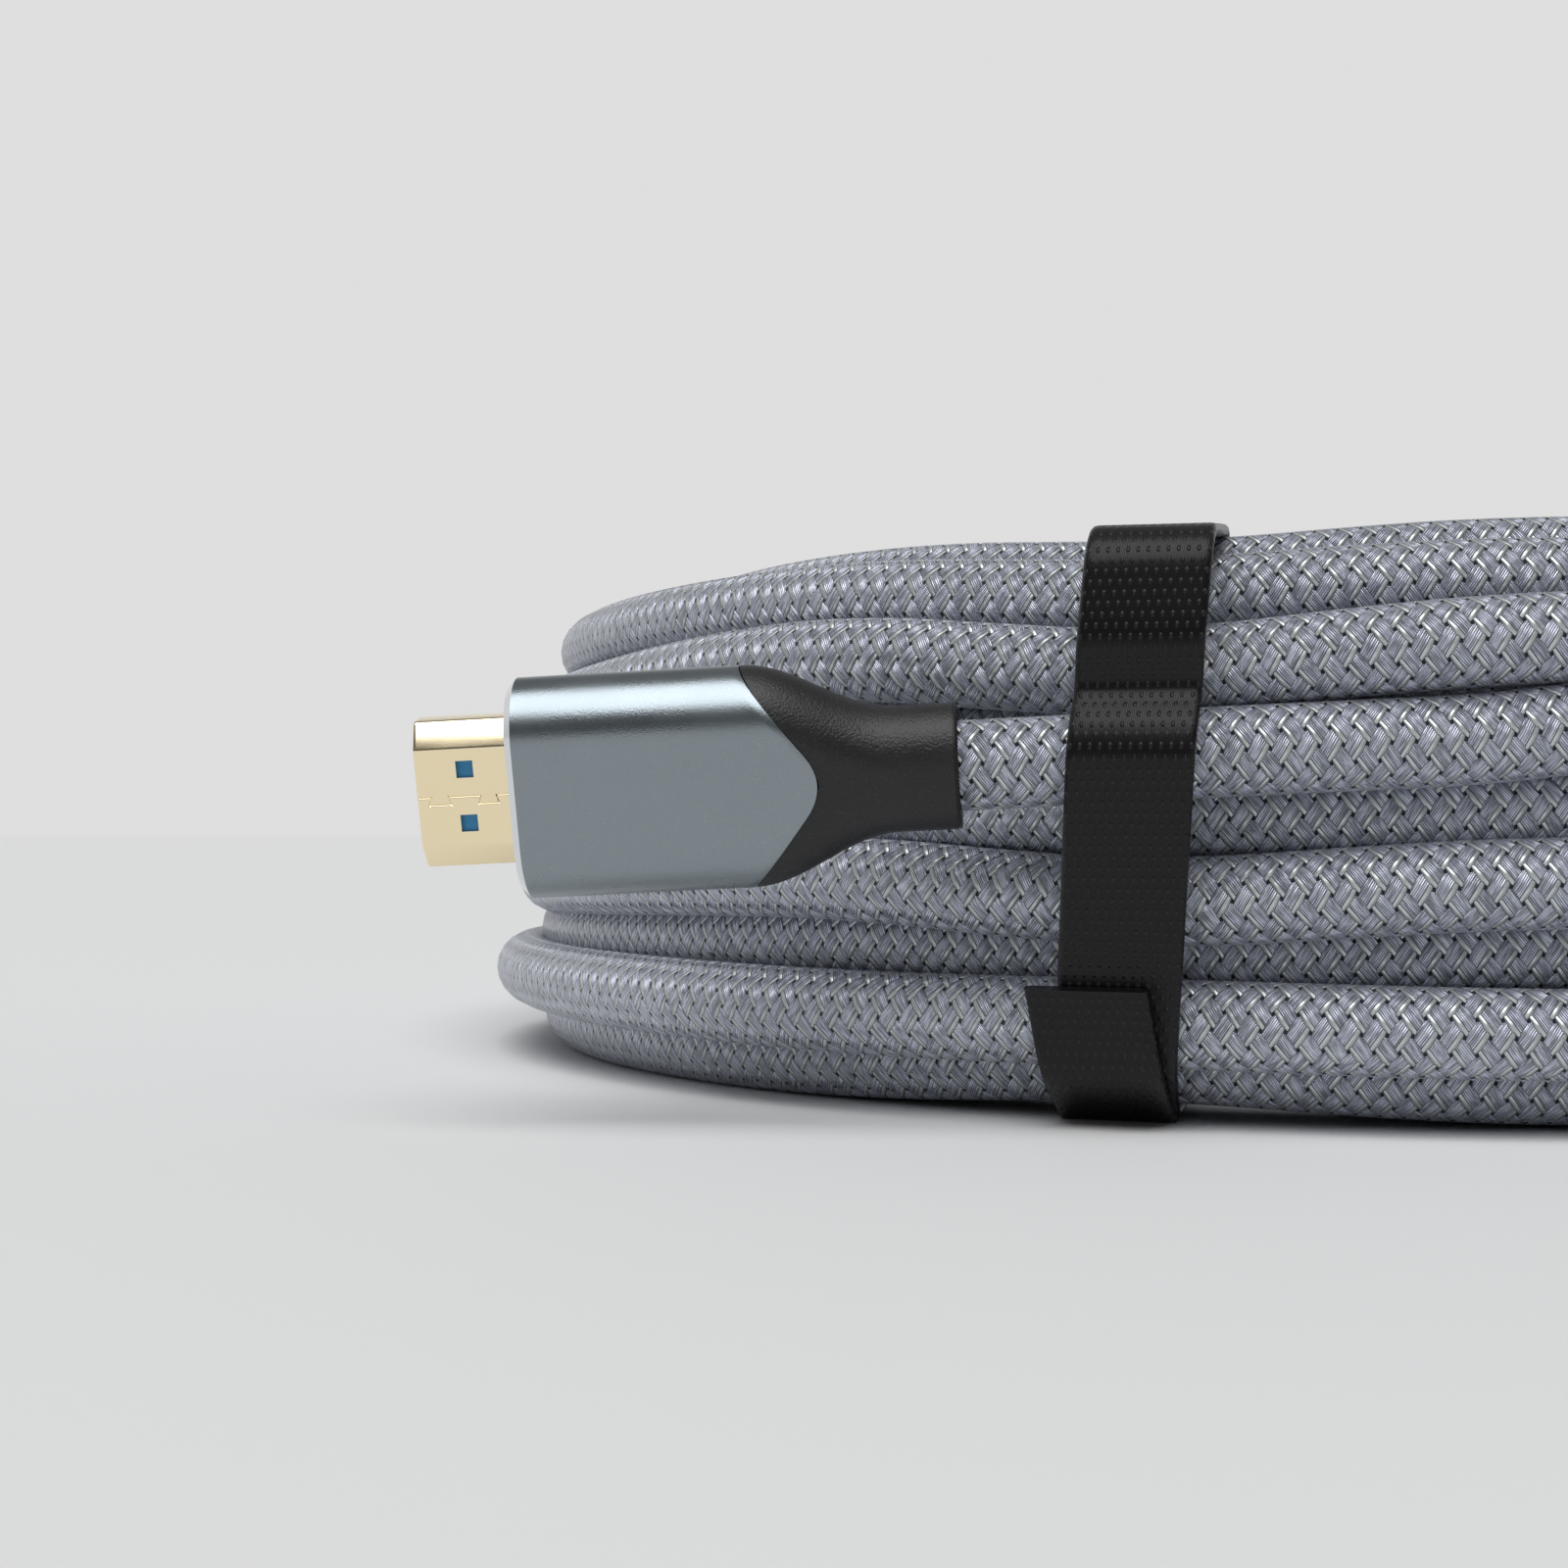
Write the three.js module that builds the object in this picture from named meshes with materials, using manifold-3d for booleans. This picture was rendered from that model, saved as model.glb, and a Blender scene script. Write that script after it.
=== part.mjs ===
// A long braided HDMI cable, wound in a round coil and held by one hook-and-loop strap.
// One plug lies in front of the coil, the other one lies on the floor inside its bore.
// Units are millimetres, +Z is up, and the origin is on the floor, on the coil's axis.
import * as THREE from 'three';
import { mergeVertices } from 'three/addons/utils/BufferGeometryUtils.js';
import Module from 'manifold-3d';

const wasm = await Module();
wasm.setup();

// Cable
const cableDiameter = 8.3;
const cableRadius = cableDiameter / 2;
const cableSides = 12;
const leadStepLength = 2.5 * cableDiameter;
const touchGap = 0.3;

// Coil: the outermost turns, as [distance from the coil's axis, height], in order round the bundle
const coilRimTurns = [
  [99.5, 4.15],
  [105.9, 9.4],
  [100.5, 16.5],
  [105.9, 22.8],
  [101.3, 29.9],
  [105.9, 36.9],
  [105.9, 45.3],
  [99.4, 50.6],
  [91.5, 53.2],
  [93.0, 44.5],
  [87.8, 37.9],
  [90.5, 30.0],
  [89.0, 17.0],
  [88.3, 4.15],
];
const coilSegments = 40;
const grooveOpening = 35; // degrees kept clear of a turn's arc on each side of the groove to the next
const arcStep = 55; // degrees

// Cord routes outside the coil, straight to each plug
const leadAPoints = [
  [-11.0, -105.4, 35.8],
  [-22.0, -104.35, 35.25],
  [-33.0, -103.3, 34.7],
  [-44.5, -102.2, 34.1],
  [-56.9, -101.0, 33.5],
];
const leadBPoints = [
  [54.4, -69.6, 4.2],
  [61.6, -62.2, 4.2],
  [66.4, -53.1, 4.2],
  [68.6, -43.0, 4.2],
  [67.8, -32.7, 4.2],
  [64.3, -23.0, 4.3],
  [58.3, -14.7, 4.6],
  [50.1, -8.3, 5.1],
  [45.5, -6.05, 5.4],
  [39.9, -3.8, 5.65],
  [34.35, -1.55, 5.75],
];

// Strap round the bundle: the turns that it bears on, as [distance from the coil's axis, height]
const strapWidth = 11.5;
const strapThickness = 1.3;
const strapAngle = 22.1; // degrees round the coil from its front to the left
const strapFacing = 13; // degrees that its front leg looks to the left of straight ahead
const strapCentreRadius = 97;
const strapTurns = [
  [111.8, 34.3],
  [105.2, 9.6],
  [99.0, cableRadius + strapThickness + touchGap],
  [88.6, cableRadius + strapThickness + touchGap],
  [88.6, 17.0],
  [88.6, 38.0],
  [91.6, 51.8],
  [99.2, 49.6],
  [104.8, 43.0],
];
const strapStandOff = [108.6, 50.0]; // its stiff tape rounds this place, off the turns, at its upper front corner
const strapLean = 4; // its foot lies this far to the left of its top, sideways
const strapTurnPoints = 20; // points round each turn's circle
const tailHeight = 13.8; // the free end stops at this height
const tailShift = 3; // sideways, to the left

// Plug shell: a D-shaped tube of thin sheet with latch windows
const shellWidth = 13.9;
const shellHeight = 4.45;
const shellWall = 0.35;
const shellBevelWidth = 2.4;
const shellBevelHeight = 1.5;
const shellLength = 9.2; // in front of the housing
const shellSeat = 3.2; // inside the housing
const windowSize = 1.6;
const windowSpacing = 5.1;
const windowSetback = 4.7; // from the shell's mouth to the window's centre

// Insulator and contacts inside the shell
const insulatorGap = 0.15;
const insulatorRecess = 0.4;
const slotWidth = 11.2;
const slotHeight = 2.2;
const slotDepth = 7;
const contactPitch = 1;
const contactWidth = 0.5;
const contactThickness = 0.2;
const contactGap = 0.1;
const contactRecess = 0.8; // behind the insulator's mouth
const contactBarLength = 1;
const upperContacts = 10;
const lowerContacts = 9;

// Housing: an aluminium sleeve with a bright chamfer in front and a chevron edge behind
const housingWidth = 20.8;
const housingThickness = 11.5;
const housingWall = 0.9;
const housingChamfer = 0.7;
const housingSideLength = 21.4; // along its narrow sides
const housingTipLength = 28.3; // at the chevron's tips on its broad faces
const chevronTipWidth = 6; // between the ends of its rounded tip
const coreRecess = 0.4;

// Moulded boot behind the housing
const bootEnd = 41; // behind the housing's front
const neckWidth = 11.7;
const neckThickness = 10.6;
const flareLength = 14;
const flareSteps = 9;
const roundSegments = 6;

// Where each plug lies: the middle of its boot's end, the way its tip points, the way its narrow face looks
const plugA = { end: [-56.9, -101.0, 33.5], yaw: 5.5, dip: 2.9, roll: -13 };
const plugB = { end: [34.35, -1.55, housingThickness / 2], yaw: 22, dip: 0, roll: 90 };

// How far a cut runs past the face that it starts from
const cutOverrun = 1;

const gold = new THREE.MeshStandardMaterial({ color: 0xd9b26a, metalness: 1, roughness: 0.25 });
const bluePlastic = new THREE.MeshStandardMaterial({ color: 0x2a6f9e, metalness: 0, roughness: 0.5 });
const contactGold = new THREE.MeshStandardMaterial({ color: 0xe0b860, metalness: 1, roughness: 0.3 });
const greyAluminium = new THREE.MeshStandardMaterial({ color: 0x66747e, metalness: 1, roughness: 0.4 });
const blackMoulding = new THREE.MeshStandardMaterial({ color: 0x18181a, metalness: 0, roughness: 0.6 });
const greyBraid = new THREE.MeshStandardMaterial({ color: 0x9698a8, metalness: 0, roughness: 0.6 });
const blackStrap = new THREE.MeshStandardMaterial({ color: 0x141416, metalness: 0, roughness: 0.7 });

const radians = THREE.MathUtils.degToRad;

// A closed three.js geometry as a solid that can be cut and joined.
function solidOf(geometry) {
  const bare = geometry.index ? geometry.toNonIndexed() : geometry.clone();
  bare.deleteAttribute('normal');
  bare.deleteAttribute('uv');
  const merged = mergeVertices(bare);
  return new wasm.Manifold(new wasm.Mesh({
    numProp: 3,
    vertProperties: new Float32Array(merged.attributes.position.array),
    triVerts: new Uint32Array(merged.index.array),
  }));
}

// The solid's surface as a three.js geometry.
function geometryOf(solid) {
  const mesh = solid.getMesh();
  const geometry = new THREE.BufferGeometry();
  geometry.setAttribute('position', new THREE.BufferAttribute(mesh.vertProperties, 3));
  geometry.setIndex(new THREE.BufferAttribute(mesh.triVerts, 1));
  geometry.computeVertexNormals();
  return geometry;
}

function namedMesh(name, geometry, material) {
  const mesh = new THREE.Mesh(geometry, material);
  mesh.name = name;
  return mesh;
}

// A tube of round section along a smooth curve through the route's points.
function tubeAlong(points, radius) {
  const route = new THREE.CatmullRomCurve3(points.map((p) => new THREE.Vector3(...p)));
  const section = new THREE.Shape();
  for (let side = 0; side < cableSides; side += 1) {
    const angle = (2 * Math.PI * side) / cableSides;
    const x = radius * Math.cos(angle);
    const y = radius * Math.sin(angle);
    if (side === 0) section.moveTo(x, y);
    else section.lineTo(x, y);
  }
  section.closePath();
  const steps = Math.ceil(route.getLength() / leadStepLength);
  return new THREE.ExtrudeGeometry(section, { steps, extrudePath: route, bevelEnabled: false });
}

// The point a distance beyond `end`, on the line from `before` through `end`.
function beyond(before, end, distance) {
  const tip = new THREE.Vector3(...end);
  const way = tip.clone().sub(new THREE.Vector3(...before)).normalize();
  return tip.addScaledVector(way, distance).toArray();
}

// The coil's outline: an arc of each rim turn, from its groove on one side to its groove on the other.
function coilProfile() {
  const outline = [];
  const count = coilRimTurns.length;
  coilRimTurns.forEach(([radius, height], turn) => {
    const [previousRadius, previousHeight] = coilRimTurns[(turn + count - 1) % count];
    const [nextRadius, nextHeight] = coilRimTurns[(turn + 1) % count];
    const toPrevious = Math.atan2(previousHeight - height, previousRadius - radius);
    const toNext = Math.atan2(nextHeight - height, nextRadius - radius);
    const whole = THREE.MathUtils.euclideanModulo(toNext - toPrevious, 2 * Math.PI);
    const sweep = whole - 2 * radians(grooveOpening);
    const steps = Math.max(1, Math.round(sweep / radians(arcStep)));
    for (let step = 0; step <= steps; step += 1) {
      const angle = toPrevious + radians(grooveOpening) + (sweep * step) / steps;
      outline.push(new THREE.Vector2(
        radius + cableRadius * Math.cos(angle),
        height + cableRadius * Math.sin(angle),
      ));
    }
  });
  outline.push(outline[0].clone());
  return outline;
}

// The tight outline, like a string, round all the turns that the strap bears on, a distance off them.
function stringRoundTurns(distance) {
  const points = [];
  [...strapTurns, strapStandOff].forEach(([radius, height]) => {
    for (let i = 0; i < strapTurnPoints; i += 1) {
      const angle = (2 * Math.PI * i) / strapTurnPoints;
      const reach = cableRadius + distance;
      points.push(new THREE.Vector2(
        radius - strapCentreRadius + reach * Math.cos(angle),
        height + reach * Math.sin(angle),
      ));
    }
  });
  points.sort((a, b) => a.x - b.x || a.y - b.y);
  const halfOutline = (ordered) => {
    const kept = [];
    ordered.forEach((point) => {
      while (kept.length > 1 && turnsRight(kept[kept.length - 2], kept[kept.length - 1], point)) kept.pop();
      kept.push(point);
    });
    return kept.slice(0, -1);
  };
  return [...halfOutline(points), ...halfOutline([...points].reverse())];
}

function turnsRight(a, b, c) {
  return (b.x - a.x) * (c.y - a.y) - (b.y - a.y) * (c.x - a.x) <= 0;
}

// A band between two outlines, or one full outline, with its width across the strap from `from` to `to`.
function strapSolid(outer, inner, from, to) {
  const section = new THREE.Shape(outer);
  if (inner) section.holes.push(new THREE.Path(inner));
  const geometry = new THREE.ExtrudeGeometry(section, { depth: to - from, bevelEnabled: false });
  geometry.translate(0, 0, from);
  const outward = new THREE.Vector3(-Math.sin(radians(strapFacing)), -Math.cos(radians(strapFacing)), 0);
  const up = new THREE.Vector3(0, 0, 1);
  const across = new THREE.Vector3().crossVectors(outward, up);
  const centre = new THREE.Vector3(
    -strapCentreRadius * Math.sin(radians(strapAngle)),
    -strapCentreRadius * Math.cos(radians(strapAngle)),
    0,
  ).addScaledVector(across, strapLean);
  up.addScaledVector(across, -strapLean / (strapStandOff[1] + cableRadius));
  geometry.applyMatrix4(new THREE.Matrix4().makeBasis(outward, up, across).setPosition(centre));
  return solidOf(geometry);
}

function rectangle(left, bottom, right, top) {
  return [
    new THREE.Vector2(left, bottom),
    new THREE.Vector2(right, bottom),
    new THREE.Vector2(right, top),
    new THREE.Vector2(left, top),
  ];
}

// The strap: one band round the bundle, with its free end lapped over the foot of its front leg.
function strap() {
  const half = strapWidth / 2;
  const inside = stringRoundTurns(touchGap);
  const outside = stringRoundTurns(touchGap + strapThickness);
  const lapInside = stringRoundTurns(touchGap + strapThickness / 2);
  const lapOutside = stringRoundTurns(touchGap + 2 * strapThickness);
  const reach = Math.max(...lapOutside.map((point) => point.x));
  const band = strapSolid(outside, inside, -half, half);
  const lap = strapSolid(lapOutside, lapInside, tailShift - half, tailShift + half);
  const front = strapSolid(
    rectangle(reach / 2, 0, reach + cutOverrun, tailHeight), null, -strapWidth, strapWidth,
  );
  return band.add(lap.intersect(front));
}

// What the strap takes out of the coil: all that lies outside its tight outline, over its own width.
function strapGroove() {
  const half = strapWidth / 2 + touchGap;
  const far = 2 * strapCentreRadius / 5;
  const top = 2 * far;
  return strapSolid(rectangle(-far, -far, far, top), stringRoundTurns(0), -half, half + tailShift);
}

function coil() {
  const ring = new THREE.LatheGeometry(coilProfile(), coilSegments);
  ring.rotateX(Math.PI / 2);
  const leadSpaces = [leadAPoints, leadBPoints].map((points) => {
    const longer = [beyond(points[1], points[0], touchGap), ...points.slice(1)];
    return solidOf(tubeAlong(longer, cableRadius + touchGap));
  });
  const cut = leadSpaces.reduce((body, space) => body.subtract(space), solidOf(ring).subtract(strapGroove()));
  return largestBody(cut);
}

// A cut that only grazes a turn can leave a crumb of no thickness beside the body.
function largestBody(solid) {
  return solid.decompose().reduce((largest, body) => (body.volume() > largest.volume() ? body : largest));
}

// Each lead stops short of its boot's end by the gap that touching pieces keep.
function lead(points) {
  const count = points.length;
  const end = beyond(points[count - 2], points[count - 1], -touchGap);
  return tubeAlong([...points.slice(0, -1), end], cableRadius);
}

// The shell's section, drawn in by `inset`: x runs across the plug, y towards its narrow face.
function shellSection(inset) {
  const half = shellWidth / 2;
  const bevelAngle = Math.atan2(shellBevelWidth, shellBevelHeight);
  const narrowHalf = half - shellBevelWidth - inset * Math.tan(Math.PI / 4 - bevelAngle / 2);
  const shoulder = shellHeight / 2 - shellBevelHeight - inset * Math.tan(bevelAngle / 2);
  const face = shellHeight / 2 - inset;
  const side = half - inset;
  return [
    new THREE.Vector2(-side, -face),
    new THREE.Vector2(side, -face),
    new THREE.Vector2(side, shoulder),
    new THREE.Vector2(narrowHalf, face),
    new THREE.Vector2(-narrowHalf, face),
    new THREE.Vector2(-side, shoulder),
  ];
}

// A section with round ends, as wide as `width` and as thick as `thickness`.
function roundEnded(width, thickness) {
  const radius = thickness / 2;
  const shape = new THREE.Shape();
  shape.absarc(width / 2 - radius, 0, radius, -Math.PI / 2, Math.PI / 2, false);
  shape.absarc(radius - width / 2, 0, radius, Math.PI / 2, (3 * Math.PI) / 2, false);
  shape.closePath();
  return shape;
}

// Turns an extrusion so that its section lies across the plug and its depth runs along +X to the tip.
function acrossPlug(geometry, start) {
  geometry.translate(0, 0, start);
  return geometry.applyMatrix4(new THREE.Matrix4().makeBasis(
    new THREE.Vector3(0, 1, 0),
    new THREE.Vector3(0, 0, 1),
    new THREE.Vector3(1, 0, 0),
  ));
}

function extrudeBetween(shape, start, end, steps = 1) {
  const options = { depth: end - start, steps, curveSegments: roundSegments, bevelEnabled: false };
  return acrossPlug(new THREE.ExtrudeGeometry(shape, options), start);
}

function box(length, width, height, x, y, z) {
  return solidOf(new THREE.BoxGeometry(length, width, height).translate(x, y, z));
}

function shell() {
  const section = new THREE.Shape(shellSection(0));
  section.holes.push(new THREE.Path(shellSection(shellWall)));
  const body = solidOf(extrudeBetween(section, -shellSeat, shellLength));
  const windowX = shellLength - windowSetback;
  return [-1, 1].reduce((part, side) => part.subtract(
    box(windowSize, windowSize, 2 * shellHeight, windowX, (side * windowSpacing) / 2, 0),
  ), body);
}

const insulatorMouth = shellLength - insulatorRecess;

function insulator() {
  const section = new THREE.Shape(shellSection(shellWall + insulatorGap));
  const body = solidOf(extrudeBetween(section, -shellSeat, insulatorMouth));
  const slotLength = slotDepth + cutOverrun;
  const slotMiddle = insulatorMouth + cutOverrun - slotLength / 2;
  return body.subtract(box(slotLength, slotWidth, slotHeight, slotMiddle, 0, 0));
}

// One row of contacts: blades of one pitch joined by the bar that the insulator holds them by.
function contactRow(count, side) {
  const mouth = insulatorMouth - contactRecess;
  const root = insulatorMouth - slotDepth + contactBarLength;
  const height = side * (slotHeight / 2 - contactGap - contactThickness / 2);
  const rowWidth = (count - 1) * contactPitch + contactWidth;
  const bar = box(contactBarLength, rowWidth, contactThickness, root, 0, height);
  const blades = Array.from({ length: count }, (_, i) => {
    const y = (i - (count - 1) / 2) * contactPitch;
    return box(mouth - root, contactWidth, contactThickness, (mouth + root) / 2, y, height);
  });
  return blades.reduce((row, blade) => row.add(blade), bar);
}

// What lies behind the chevron edge, seen on the broad face, moved back by `gap`.
function behindChevron(gap) {
  const half = housingWidth;
  const slope = (housingTipLength - housingSideLength) / (housingWidth / 2 - chevronTipWidth / 4);
  const tipHalf = chevronTipWidth / 2;
  const xAt = (y) => -housingSideLength - gap - slope * (housingWidth / 2 - y);
  const shape = new THREE.Shape();
  shape.moveTo(xAt(half), half);
  shape.lineTo(xAt(tipHalf), tipHalf);
  shape.quadraticCurveTo(xAt(0), 0, xAt(tipHalf), -tipHalf);
  shape.lineTo(xAt(half), -half);
  shape.lineTo(-2 * bootEnd, -half);
  shape.lineTo(-2 * bootEnd, half);
  shape.closePath();
  const options = { depth: 2 * housingThickness, curveSegments: roundSegments, bevelEnabled: false };
  return solidOf(new THREE.ExtrudeGeometry(shape, options).translate(0, 0, -housingThickness));
}

function housing() {
  const rear = housingTipLength + 2 * housingChamfer;
  const outer = new THREE.ExtrudeGeometry(roundEnded(housingWidth, housingThickness), {
    depth: rear - 2 * housingChamfer,
    curveSegments: roundSegments,
    bevelThickness: housingChamfer,
    bevelSize: housingChamfer,
    bevelOffset: -housingChamfer,
    bevelSegments: 1,
  });
  const bore = roundEnded(housingWidth - 2 * housingWall, housingThickness - 2 * housingWall);
  return solidOf(acrossPlug(outer, housingChamfer - rear))
    .subtract(solidOf(extrudeBetween(bore, -2 * rear, cutOverrun)))
    .subtract(behindChevron(0));
}

// Share of the way from the housing's section to the neck's, a distance behind the housing's front.
function flareAt(distance) {
  const t = THREE.MathUtils.clamp((distance - housingSideLength) / flareLength, 0, 1);
  return Math.sin((t * Math.PI) / 2) ** 2;
}

// The boot: a core inside the sleeve and, behind the chevron, a body that flares down to the neck.
function boot() {
  const front = housingSideLength - cutOverrun;
  const body = extrudeBetween(
    roundEnded(housingWidth, housingThickness), -bootEnd, -front, flareSteps,
  );
  const place = body.attributes.position;
  for (let i = 0; i < place.count; i += 1) {
    const share = flareAt(-place.getX(i));
    place.setY(i, place.getY(i) * THREE.MathUtils.lerp(1, neckWidth / housingWidth, share));
    place.setZ(i, place.getZ(i) * THREE.MathUtils.lerp(1, neckThickness / housingThickness, share));
  }
  const inset = 2 * (housingWall + touchGap);
  const coreSection = roundEnded(housingWidth - inset, housingThickness - inset);
  const core = solidOf(extrudeBetween(coreSection, -housingTipLength, -coreRecess));
  const seat = new THREE.Shape(shellSection(-touchGap));
  const seatSpace = solidOf(extrudeBetween(seat, -shellSeat - touchGap, cutOverrun));
  return solidOf(body).intersect(behindChevron(touchGap)).add(core.subtract(seatSpace));
}

// A plug in its own frame: +X to its tip from the housing's front, +Z to its narrow face.
function plug(prefix, { end, yaw, dip, roll }) {
  const group = new THREE.Group();
  group.add(
    namedMesh(`${prefix}_shell`, geometryOf(shell()), gold),
    namedMesh(`${prefix}_insulator`, geometryOf(insulator()), bluePlastic),
    namedMesh(`${prefix}_contacts_upper`, geometryOf(contactRow(upperContacts, -1)), contactGold),
    namedMesh(`${prefix}_contacts_lower`, geometryOf(contactRow(lowerContacts, 1)), contactGold),
    namedMesh(`${prefix}_housing`, geometryOf(housing()), greyAluminium),
    namedMesh(`${prefix}_boot`, geometryOf(boot()), blackMoulding),
  );
  const tip = new THREE.Vector3(
    -Math.cos(radians(yaw)) * Math.cos(radians(dip)),
    Math.sin(radians(yaw)) * Math.cos(radians(dip)),
    -Math.sin(radians(dip)),
  );
  const level = new THREE.Vector3(-Math.sin(radians(yaw)), -Math.cos(radians(yaw)), 0);
  const face = level.clone().applyAxisAngle(tip, radians(roll));
  const width = new THREE.Vector3().crossVectors(face, tip);
  group.quaternion.setFromRotationMatrix(new THREE.Matrix4().makeBasis(tip, width, face));
  group.position.set(...end).addScaledVector(tip, bootEnd);
  return group;
}

const cable = new THREE.Group();
cable.add(
  namedMesh('cable_coil', geometryOf(coil()), greyBraid),
  namedMesh('lead_a', lead(leadAPoints), greyBraid),
  namedMesh('lead_b', lead(leadBPoints), greyBraid),
  namedMesh('strap', geometryOf(strap()), blackStrap),
  plug('plug_a', plugA),
  plug('plug_b', plugB),
);

export default cable;
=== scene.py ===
"""A long braided cable in a round coil, held by one strap, with a flat D-shaped plug on each end.

Lengths are written in millimetres and angles in degrees. Only the finished meshes are in metres.
A plug is made in its own frame: x runs from its housing's front to the tip, y across it, and z to its
narrow face.
"""

import bpy
import numpy as np
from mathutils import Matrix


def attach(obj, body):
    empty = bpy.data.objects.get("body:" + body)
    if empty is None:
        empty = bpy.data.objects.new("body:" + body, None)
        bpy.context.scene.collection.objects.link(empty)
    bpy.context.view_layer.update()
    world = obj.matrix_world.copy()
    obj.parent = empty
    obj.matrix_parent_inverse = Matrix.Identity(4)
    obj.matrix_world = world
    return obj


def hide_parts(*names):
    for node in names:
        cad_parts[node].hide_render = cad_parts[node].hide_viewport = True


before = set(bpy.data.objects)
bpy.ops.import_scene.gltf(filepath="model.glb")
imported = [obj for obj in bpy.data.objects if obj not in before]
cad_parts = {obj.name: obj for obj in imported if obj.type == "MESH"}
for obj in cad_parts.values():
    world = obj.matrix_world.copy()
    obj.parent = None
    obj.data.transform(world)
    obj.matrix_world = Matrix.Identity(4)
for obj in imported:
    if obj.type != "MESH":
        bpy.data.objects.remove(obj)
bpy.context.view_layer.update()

MM = 0.001

# Cable
CABLE_DIAMETER = 8.3
CABLE_RADIUS = CABLE_DIAMETER / 2
CABLE_SIDES = 20
CABLE_RINGS = 4700
TOUCH_GAP = 0.3

# Braid
BRAID_ENDS = 8.0  # each way round
BRAID_SPACING = 2.13  # between neighbours, along the cable
YARN_FILAMENTS = 6.0
YARN_TAPE_SHARE = 0.32  # of an end's width
YARN_RISE = 0.9  # how high an end rises over another, in its own thickness
BRAID_RELIEF = 0.26

# Routes outside the coil, straight to each plug
LEAD_A = ((-11.0, -105.4, 35.8), (-22.0, -104.35, 35.25), (-33.0, -103.3, 34.7), (-44.5, -102.2, 34.1),
          (-56.9, -101.0, 33.5))
LEAD_B = ((54.4, -69.6, 4.2), (61.6, -62.2, 4.2), (66.4, -53.1, 4.2), (68.6, -43.0, 4.2),
          (67.8, -32.7, 4.2), (64.3, -23.0, 4.3), (58.3, -14.7, 4.6), (50.1, -8.3, 5.1),
          (45.5, -6.05, 5.4), (39.9, -3.8, 5.65), (34.35, -1.55, 5.75))

# Where each plug lies: the middle of its boot's end, the way its tip points, the way its narrow face looks
PLUG_A = {"end": (-56.9, -101.0, 33.5), "yaw": 5.5, "dip": 2.9, "roll": -13}
PLUG_B = {"end": (34.35, -1.55, 5.75), "yaw": 22, "dip": 0, "roll": 90}

# The turns in the cable's own order, as (distance from the coil's axis, height): lying free, under the
# strap, and at the coil's left side
TURNS = (
    ((105.9, 36.9), (106.0, 31.8), (105.9, 36.9)),
    ((105.9, 45.3), (105.0, 42.3), (104.5, 40.5)),
    ((99.4, 50.6), (99.5, 49.3), (97.6, 49.6)),
    ((91.5, 53.2), (91.8, 51.8), (84.5, 53.0)),
    ((93.0, 44.5), (93.4, 44.0), (90.0, 45.0)),
    ((87.8, 37.9), (88.5, 38.0), (86.5, 38.5)),
    ((97.0, 37.1), (96.8, 36.2), (95.0, 37.5)),
    ((90.5, 30.0), (90.4, 28.6), (90.5, 30.0)),
    ((95.6, 23.2), (95.2, 21.9), (95.6, 23.2)),
    ((101.3, 29.9), (101.5, 28.5), (102.0, 31.0)),
    ((105.9, 22.8), (105.3, 20.9), (103.0, 21.0)),
    ((100.5, 16.5), (100.0, 15.5), (100.5, 15.0)),
    ((105.9, 9.4), (105.2, 9.6), (105.9, 9.5)),
    ((99.5, 4.15), (99.0, 5.75), (99.5, 4.15)),
    ((94.0, 10.4), (93.8, 11.4), (94.0, 10.4)),
    ((89.0, 17.0), (88.8, 16.9), (89.0, 17.0)),
    ((88.3, 4.15), (88.6, 5.75), (88.3, 4.15)),
)
STRAP_AT = -112.1  # where the strap is, counterclockwise from +x
COIL_START = 16.1  # past the strap, where the cable joins the coil
COIL_END = 16 * 360 + 60.0
COIL_STEP = 6.0
ROUTE_STEPS = 8  # on the curve, between two points of the route
CROSSING_FIRST = 265.0  # past the strap, where the cable steps from its first turn to its second
CROSSING_EARLIER = 12.0  # each step comes that much earlier in its turn than the one before
CROSSING_LENGTH = 36.0
LAST_STEP_BULGE = -3.3  # the last step passes inside its neighbour
STRAP_SQUEEZE = 13.0  # the turns lie as the strap holds them over this angle to each side of it
LEFT_STRETCH = (350.0, 300.0, 240.0)  # past the strap, where the left side's places start, hold and end
WOBBLE = 0.3  # how far a turn strays from its place

# Strap
STRAP_WIDTH = 11.5
STRAP_THICKNESS = 1.3
STRAP_ANGLE = 22.1
STRAP_FACING = 13.0
STRAP_CENTRE_RADIUS = 97.0
# the turns that it bears on, as (distance from the coil's axis, height)
STRAP_TURNS = ((111.8, 34.3), (105.2, 9.6), (99.0, 5.75), (88.6, 5.75), (88.6, 17.0), (88.6, 38.0),
               (91.6, 51.8), (99.2, 49.6), (104.8, 43.0))
STRAP_STAND_OFF = (108.6, 50.0)  # off the turns, where its stiff tape rounds its upper front corner
STRAP_LEAN = 4.0  # its foot lies this far to the left of its top
STRAP_TWIST = 9.0  # its foot faces this much further left than its top
STRAP_TWIST_DEPTH = 6.0  # the twist grows to its full over this, from the bundle's middle to the front
STRAP_DENT = 1.8  # above the lead it falls back by this much
STRAP_DENT_HEIGHT = 40.6
STRAP_DENT_LENGTH = 2.6
STRAP_SKIN = 0.15  # the cable's braid gives way by this much under it
STRAP_POINTS = 420
STRAP_DIMPLE_ACROSS = 0.9
STRAP_DIMPLE_ALONG = 1.0
STRAP_RELIEF = 0.12
TAIL_HEIGHT = 13.8
TAIL_SHIFT = 3.0

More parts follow.
